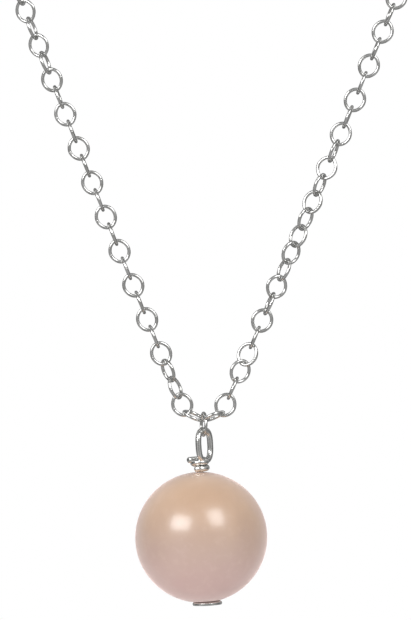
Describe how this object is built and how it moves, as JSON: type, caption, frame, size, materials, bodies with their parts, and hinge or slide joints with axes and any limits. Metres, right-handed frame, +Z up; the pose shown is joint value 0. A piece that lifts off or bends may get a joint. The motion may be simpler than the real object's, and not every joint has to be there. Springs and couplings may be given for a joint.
{
  "type": "pearl pendant necklace",
  "caption": "Single pearl on a wire-wrapped headpin, hung from a fine round-link cable chain in a long V that closes behind the neck with a lobster claw clasp.",
  "frame": {"origin": "centre of the half ring of chain round the back of the neck, at the chain's height there", "axes": "+Z up, +Y to the back of the neck, +X to the right as seen from the front; the two sides hang in a plane parallel to XZ"},
  "size_m": [0.1058, 0.0627, 0.1562],
  "materials": {
    "silver": "polished",
    "chain_run": "polished",
    "spring_steel": "satin",
    "pearl": "gloss"
  },
  "bodies": {
    "neck_chain": {"left_neck_chain": "chain_run", "right_neck_chain": "chain_run", "clasp_jump_ring": "silver", "end_ring": "silver"},
    "left_upper_chain": {"left_upper_chain": "chain_run"},
    "right_upper_chain": {"right_upper_chain": "chain_run"},
    "left_link_22": {"left_link_22": "silver"},
    "left_link_21": {"left_link_21": "silver"},
    "left_link_20": {"left_link_20": "silver"},
    "left_link_19": {"left_link_19": "silver"},
    "left_link_18": {"left_link_18": "silver"},
    "left_link_17": {"left_link_17": "silver"},
    "left_link_16": {"left_link_16": "silver"},
    "left_link_15": {"left_link_15": "silver"},
    "left_link_14": {"left_link_14": "silver"},
    "left_link_13": {"left_link_13": "silver"},
    "left_link_12": {"left_link_12": "silver"},
    "left_link_11": {"left_link_11": "silver"},
    "left_link_10": {"left_link_10": "silver"},
    "left_link_09": {"left_link_09": "silver"},
    "left_link_08": {"left_link_08": "silver"},
    "left_link_07": {"left_link_07": "silver"},
    "left_link_06": {"left_link_06": "silver"},
    "left_link_05": {"left_link_05": "silver"},
    "left_link_04": {"left_link_04": "silver"},
    "left_link_03": {"left_link_03": "silver"},
    "left_link_02": {"left_link_02": "silver"},
    "left_link_01": {"left_link_01": "silver"},
    "right_link_22": {"right_link_22": "silver"},
    "right_link_21": {"right_link_21": "silver"},
    "right_link_20": {"right_link_20": "silver"},
    "right_link_19": {"right_link_19": "silver"},
    "right_link_18": {"right_link_18": "silver"},
    "right_link_17": {"right_link_17": "silver"},
    "right_link_16": {"right_link_16": "silver"},
    "right_link_15": {"right_link_15": "silver"},
    "right_link_14": {"right_link_14": "silver"},
    "right_link_13": {"right_link_13": "silver"},
    "right_link_12": {"right_link_12": "silver"},
    "right_link_11": {"right_link_11": "silver"},
    "right_link_10": {"right_link_10": "silver"},
    "right_link_09": {"right_link_09": "silver"},
    "right_link_08": {"right_link_08": "silver"},
    "right_link_07": {"right_link_07": "silver"},
    "right_link_06": {"right_link_06": "silver"},
    "right_link_05": {"right_link_05": "silver"},
    "right_link_04": {"right_link_04": "silver"},
    "right_link_03": {"right_link_03": "silver"},
    "right_link_02": {"right_link_02": "silver"},
    "right_link_01": {"right_link_01": "silver"},
    "centre_link": {"centre_link": "silver"},
    "headpin": {"headpin": "silver"},
    "pearl": {"pearl": "pearl"},
    "clasp": {"clasp_body": "silver", "clasp_rivet": "silver", "clasp_spring": "spring_steel"},
    "clasp_lever": {"clasp_lever": "silver"}
  },
  "joints": [
    {"name": "left_upper_chain_swing", "type": "hinge", "parent": "neck_chain", "child": "left_upper_chain", "pos_m": [-0.05089, -0.003, -0.00286], "axis": [1, 0, 0], "range_deg": [-25, 25]},
    {"name": "left_link_22_flex", "type": "hinge", "parent": "left_upper_chain", "child": "left_link_22", "pos_m": [-0.01516, -0.003, -0.10313], "axis": [-1, 0, 0], "range_deg": [-20, 20]},
    {"name": "left_link_21_flex", "type": "hinge", "parent": "left_link_22", "child": "left_link_21", "pos_m": [-0.01453, -0.003, -0.1047], "axis": [1, 0, 0], "range_deg": [-20, 20]},
    {"name": "left_link_20_flex", "type": "hinge", "parent": "left_link_21", "child": "left_link_20", "pos_m": [-0.01391, -0.003, -0.10627], "axis": [-1, 0, 0], "range_deg": [-20, 20]},
    {"name": "left_link_19_flex", "type": "hinge", "parent": "left_link_20", "child": "left_link_19", "pos_m": [-0.01328, -0.003, -0.10784], "axis": [1, 0, 0], "range_deg": [-20, 20]},
    {"name": "left_link_18_flex", "type": "hinge", "parent": "left_link_19", "child": "left_link_18", "pos_m": [-0.01265, -0.003, -0.10941], "axis": [-1, 0, 0], "range_deg": [-20, 20]},
    {"name": "left_link_17_flex", "type": "hinge", "parent": "left_link_18", "child": "left_link_17", "pos_m": [-0.01202, -0.003, -0.11098], "axis": [1, 0, 0], "range_deg": [-20, 20]},
    {"name": "left_link_16_flex", "type": "hinge", "parent": "left_link_17", "child": "left_link_16", "pos_m": [-0.01139, -0.003, -0.11255], "axis": [-1, 0, 0], "range_deg": [-20, 20]},
    {"name": "left_link_15_flex", "type": "hinge", "parent": "left_link_16", "child": "left_link_15", "pos_m": [-0.01075, -0.003, -0.11411], "axis": [1, 0, 0], "range_deg": [-20, 20]},
    {"name": "left_link_14_flex", "type": "hinge", "parent": "left_link_15", "child": "left_link_14", "pos_m": [-0.01012, -0.003, -0.11568], "axis": [-1, 0, 0], "range_deg": [-20, 20]},
    {"name": "left_link_13_flex", "type": "hinge", "parent": "left_link_14", "child": "left_link_13", "pos_m": [-0.00948, -0.003, -0.11724], "axis": [1, 0, 0], "range_deg": [-20, 20]},
    {"name": "left_link_12_flex", "type": "hinge", "parent": "left_link_13", "child": "left_link_12", "pos_m": [-0.00884, -0.003, -0.11881], "axis": [-1, 0, 0], "range_deg": [-20, 20]},
    {"name": "left_link_11_flex", "type": "hinge", "parent": "left_link_12", "child": "left_link_11", "pos_m": [-0.00819, -0.003, -0.12037], "axis": [1, 0, 0], "range_deg": [-20, 20]},
    {"name": "left_link_10_flex", "type": "hinge", "parent": "left_link_11", "child": "left_link_10", "pos_m": [-0.00755, -0.003, -0.12193], "axis": [-1, 0, 0], "range_deg": [-20, 20]},
    {"name": "left_link_09_flex", "type": "hinge", "parent": "left_link_10", "child": "left_link_09", "pos_m": [-0.0069, -0.003, -0.12349], "axis": [1, 0, 0], "range_deg": [-20, 20]},
    {"name": "left_link_08_flex", "type": "hinge", "parent": "left_link_09", "child": "left_link_08", "pos_m": [-0.00625, -0.003, -0.12505], "axis": [-1, 0, 0], "range_deg": [-20, 20]},
    {"name": "left_link_07_flex", "type": "hinge", "parent": "left_link_08", "child": "left_link_07", "pos_m": [-0.0056, -0.003, -0.12661], "axis": [1, 0, 0], "range_deg": [-20, 20]},
    {"name": "left_link_06_flex", "type": "hinge", "parent": "left_link_07", "child": "left_link_06", "pos_m": [-0.00495, -0.003, -0.12817], "axis": [-1, 0, 0], "range_deg": [-20, 20]},
    {"name": "left_link_05_flex", "type": "hinge", "parent": "left_link_06", "child": "left_link_05", "pos_m": [-0.00429, -0.003, -0.12973], "axis": [1, 0, 0], "range_deg": [-20, 20]},
    {"name": "left_link_04_flex", "type": "hinge", "parent": "left_link_05", "child": "left_link_04", "pos_m": [-0.00363, -0.003, -0.13128], "axis": [-1, 0, 0], "range_deg": [-20, 20]},
    {"name": "left_link_03_flex", "type": "hinge", "parent": "left_link_04", "child": "left_link_03", "pos_m": [-0.00297, -0.003, -0.13284], "axis": [1, 0, 0], "range_deg": [-20, 20]},
    {"name": "left_link_02_flex", "type": "hinge", "parent": "left_link_03", "child": "left_link_02", "pos_m": [-0.00231, -0.003, -0.13439], "axis": [-1, 0, 0], "range_deg": [-20, 20]},
    {"name": "left_link_01_flex", "type": "hinge", "parent": "left_link_02", "child": "left_link_01", "pos_m": [-0.00165, -0.003, -0.13595], "axis": [1, 0, 0], "range_deg": [-20, 20]},
    {"name": "right_upper_chain_swing", "type": "hinge", "parent": "neck_chain", "child": "right_upper_chain", "pos_m": [0.05089, -0.003, -0.00286], "axis": [1, 0, 0], "range_deg": [-25, 25]},
    {"name": "right_link_22_flex", "type": "hinge", "parent": "right_upper_chain", "child": "right_link_22", "pos_m": [0.01516, -0.003, -0.10313], "axis": [-1, 0, 0], "range_deg": [-20, 20]},
    {"name": "right_link_21_flex", "type": "hinge", "parent": "right_link_22", "child": "right_link_21", "pos_m": [0.01453, -0.003, -0.1047], "axis": [1, 0, 0], "range_deg": [-20, 20]},
    {"name": "right_link_20_flex", "type": "hinge", "parent": "right_link_21", "child": "right_link_20", "pos_m": [0.01391, -0.003, -0.10627], "axis": [-1, 0, 0], "range_deg": [-20, 20]},
    {"name": "right_link_19_flex", "type": "hinge", "parent": "right_link_20", "child": "right_link_19", "pos_m": [0.01328, -0.003, -0.10784], "axis": [1, 0, 0], "range_deg": [-20, 20]},
    {"name": "right_link_18_flex", "type": "hinge", "parent": "right_link_19", "child": "right_link_18", "pos_m": [0.01265, -0.003, -0.10941], "axis": [-1, 0, 0], "range_deg": [-20, 20]},
    {"name": "right_link_17_flex", "type": "hinge", "parent": "right_link_18", "child": "right_link_17", "pos_m": [0.01202, -0.003, -0.11098], "axis": [1, 0, 0], "range_deg": [-20, 20]},
    {"name": "right_link_16_flex", "type": "hinge", "parent": "right_link_17", "child": "right_link_16", "pos_m": [0.01139, -0.003, -0.11255], "axis": [-1, 0, 0], "range_deg": [-20, 20]},
    {"name": "right_link_15_flex", "type": "hinge", "parent": "right_link_16", "child": "right_link_15", "pos_m": [0.01075, -0.003, -0.11411], "axis": [1, 0, 0], "range_deg": [-20, 20]},
    {"name": "right_link_14_flex", "type": "hinge", "parent": "right_link_15", "child": "right_link_14", "pos_m": [0.01012, -0.003, -0.11568], "axis": [-1, 0, 0], "range_deg": [-20, 20]},
    {"name": "right_link_13_flex", "type": "hinge", "parent": "right_link_14", "child": "right_link_13", "pos_m": [0.00948, -0.003, -0.11724], "axis": [1, 0, 0], "range_deg": [-20, 20]},
    {"name": "right_link_12_flex", "type": "hinge", "parent": "right_link_13", "child": "right_link_12", "pos_m": [0.00884, -0.003, -0.11881], "axis": [-1, 0, 0], "range_deg": [-20, 20]},
    {"name": "right_link_11_flex", "type": "hinge", "parent": "right_link_12", "child": "right_link_11", "pos_m": [0.00819, -0.003, -0.12037], "axis": [1, 0, 0], "range_deg": [-20, 20]},
    {"name": "right_link_10_flex", "type": "hinge", "parent": "right_link_11", "child": "right_link_10", "pos_m": [0.00755, -0.003, -0.12193], "axis": [-1, 0, 0], "range_deg": [-20, 20]},
    {"name": "right_link_09_flex", "type": "hinge", "parent": "right_link_10", "child": "right_link_09", "pos_m": [0.0069, -0.003, -0.12349], "axis": [1, 0, 0], "range_deg": [-20, 20]},
    {"name": "right_link_08_flex", "type": "hinge", "parent": "right_link_09", "child": "right_link_08", "pos_m": [0.00625, -0.003, -0.12505], "axis": [-1, 0, 0], "range_deg": [-20, 20]},
    {"name": "right_link_07_flex", "type": "hinge", "parent": "right_link_08", "child": "right_link_07", "pos_m": [0.0056, -0.003, -0.12661], "axis": [1, 0, 0], "range_deg": [-20, 20]},
    {"name": "right_link_06_flex", "type": "hinge", "parent": "right_link_07", "child": "right_link_06", "pos_m": [0.00495, -0.003, -0.12817], "axis": [-1, 0, 0], "range_deg": [-20, 20]},
    {"name": "right_link_05_flex", "type": "hinge", "parent": "right_link_06", "child": "right_link_05", "pos_m": [0.00429, -0.003, -0.12973], "axis": [1, 0, 0], "range_deg": [-20, 20]},
    {"name": "right_link_04_flex", "type": "hinge", "parent": "right_link_05", "child": "right_link_04", "pos_m": [0.00363, -0.003, -0.13128], "axis": [-1, 0, 0], "range_deg": [-20, 20]},
    {"name": "right_link_03_flex", "type": "hinge", "parent": "right_link_04", "child": "right_link_03", "pos_m": [0.00297, -0.003, -0.13284], "axis": [1, 0, 0], "range_deg": [-20, 20]},
    {"name": "right_link_02_flex", "type": "hinge", "parent": "right_link_03", "child": "right_link_02", "pos_m": [0.00231, -0.003, -0.13439], "axis": [-1, 0, 0], "range_deg": [-20, 20]},
    {"name": "right_link_01_flex", "type": "hinge", "parent": "right_link_02", "child": "right_link_01", "pos_m": [0.00165, -0.003, -0.13595], "axis": [1, 0, 0], "range_deg": [-20, 20]},
    {"name": "centre_link_rock", "type": "hinge", "parent": "left_link_01", "child": "centre_link", "pos_m": [0, -0.003, -0.13695], "axis": [0.9703, 0.2419, 0], "range_deg": [-14, 14]},
    {"name": "pendant_swing", "type": "hinge", "parent": "centre_link", "child": "headpin", "pos_m": [0, -0.003, -0.13797], "axis": [-0.2419, 0.9703, 0], "range_deg": [-20, 20]},
    {"name": "pearl_spin", "type": "hinge", "parent": "headpin", "child": "pearl", "pos_m": [0.00012, -0.003, -0.14732], "axis": [-0.0628, 0, 0.998], "continuous": true},
    {"name": "clasp_turn", "type": "hinge", "parent": "neck_chain", "child": "clasp", "pos_m": [0.00056, 0.0514, 0], "axis": [1, 0, 0], "range_deg": [-15, 15]},
    {"name": "clasp_lever_press", "type": "hinge", "parent": "clasp", "child": "clasp_lever", "pos_m": [-0.00194, 0.0514, -0.0011], "axis": [0, -1, 0], "range_deg": [0, 18], "stiffness_Nm_per_rad": 0.002, "springref_deg": -17.19}
  ],
  "couplings": [
    {"joint": "right_link_22_flex", "follows": "left_link_22_flex", "ratio": 1},
    {"joint": "right_link_21_flex", "follows": "left_link_21_flex", "ratio": 1},
    {"joint": "right_link_20_flex", "follows": "left_link_20_flex", "ratio": 1},
    {"joint": "right_link_19_flex", "follows": "left_link_19_flex", "ratio": 1},
    {"joint": "right_link_18_flex", "follows": "left_link_18_flex", "ratio": 1},
    {"joint": "right_link_17_flex", "follows": "left_link_17_flex", "ratio": 1},
    {"joint": "right_link_16_flex", "follows": "left_link_16_flex", "ratio": 1},
    {"joint": "right_link_15_flex", "follows": "left_link_15_flex", "ratio": 1},
    {"joint": "right_link_14_flex", "follows": "left_link_14_flex", "ratio": 1},
    {"joint": "right_link_13_flex", "follows": "left_link_13_flex", "ratio": 1},
    {"joint": "right_link_12_flex", "follows": "left_link_12_flex", "ratio": 1},
    {"joint": "right_link_11_flex", "follows": "left_link_11_flex", "ratio": 1},
    {"joint": "right_link_10_flex", "follows": "left_link_10_flex", "ratio": 1},
    {"joint": "right_link_09_flex", "follows": "left_link_09_flex", "ratio": 1},
    {"joint": "right_link_08_flex", "follows": "left_link_08_flex", "ratio": 1},
    {"joint": "right_link_07_flex", "follows": "left_link_07_flex", "ratio": 1},
    {"joint": "right_link_06_flex", "follows": "left_link_06_flex", "ratio": 1},
    {"joint": "right_link_05_flex", "follows": "left_link_05_flex", "ratio": 1},
    {"joint": "right_link_04_flex", "follows": "left_link_04_flex", "ratio": 1},
    {"joint": "right_link_03_flex", "follows": "left_link_03_flex", "ratio": 1},
    {"joint": "right_link_02_flex", "follows": "left_link_02_flex", "ratio": 1},
    {"joint": "right_link_01_flex", "follows": "left_link_01_flex", "ratio": 1},
    {"joint": "right_upper_chain_swing", "follows": "left_upper_chain_swing", "ratio": 1}
  ]
}
